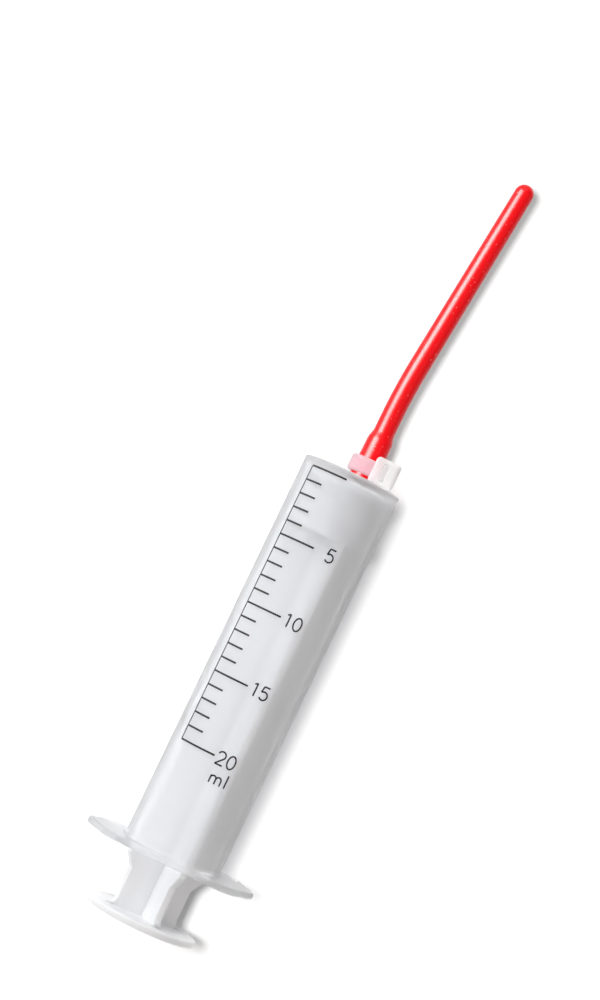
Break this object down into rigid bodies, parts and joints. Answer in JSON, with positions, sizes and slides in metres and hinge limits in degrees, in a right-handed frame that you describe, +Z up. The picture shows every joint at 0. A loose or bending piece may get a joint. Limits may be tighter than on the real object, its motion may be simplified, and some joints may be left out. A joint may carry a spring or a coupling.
{
  "type": "feeding syringe",
  "caption": "Translucent syringe with a sliding ribbed plunger, finger flange and off-centre nozzle that carries a soft round-tipped feeding tube held by a trimmed tie.",
  "frame": {"origin": "on the surface that the syringe lies on, under the middle of its overall length and on the barrel's axis", "axes": "+Y along the barrel from the thumb press to the nozzle, X along the finger ears, +Z up, the printed scale uppermost"},
  "size_m": [0.0388, 0.1798, 0.0254],
  "materials": {
    "barrel_plastic": "translucent natural polypropylene",
    "plunger_plastic": "satin natural polyethylene",
    "tube_rubber": "smooth red rubber",
    "tie_nylon": "natural nylon"
  },
  "bodies": {
    "barrel": {"barrel": "barrel_plastic", "feeding_tube": "tube_rubber", "cable_tie": "tie_nylon"},
    "plunger": {"plunger": "plunger_plastic"}
  },
  "joints": [
    {"name": "plunger_slide", "type": "slide", "parent": "barrel", "child": "plunger", "axis": [0, -1, 0], "range_m": [0, 0.0675]}
  ]
}
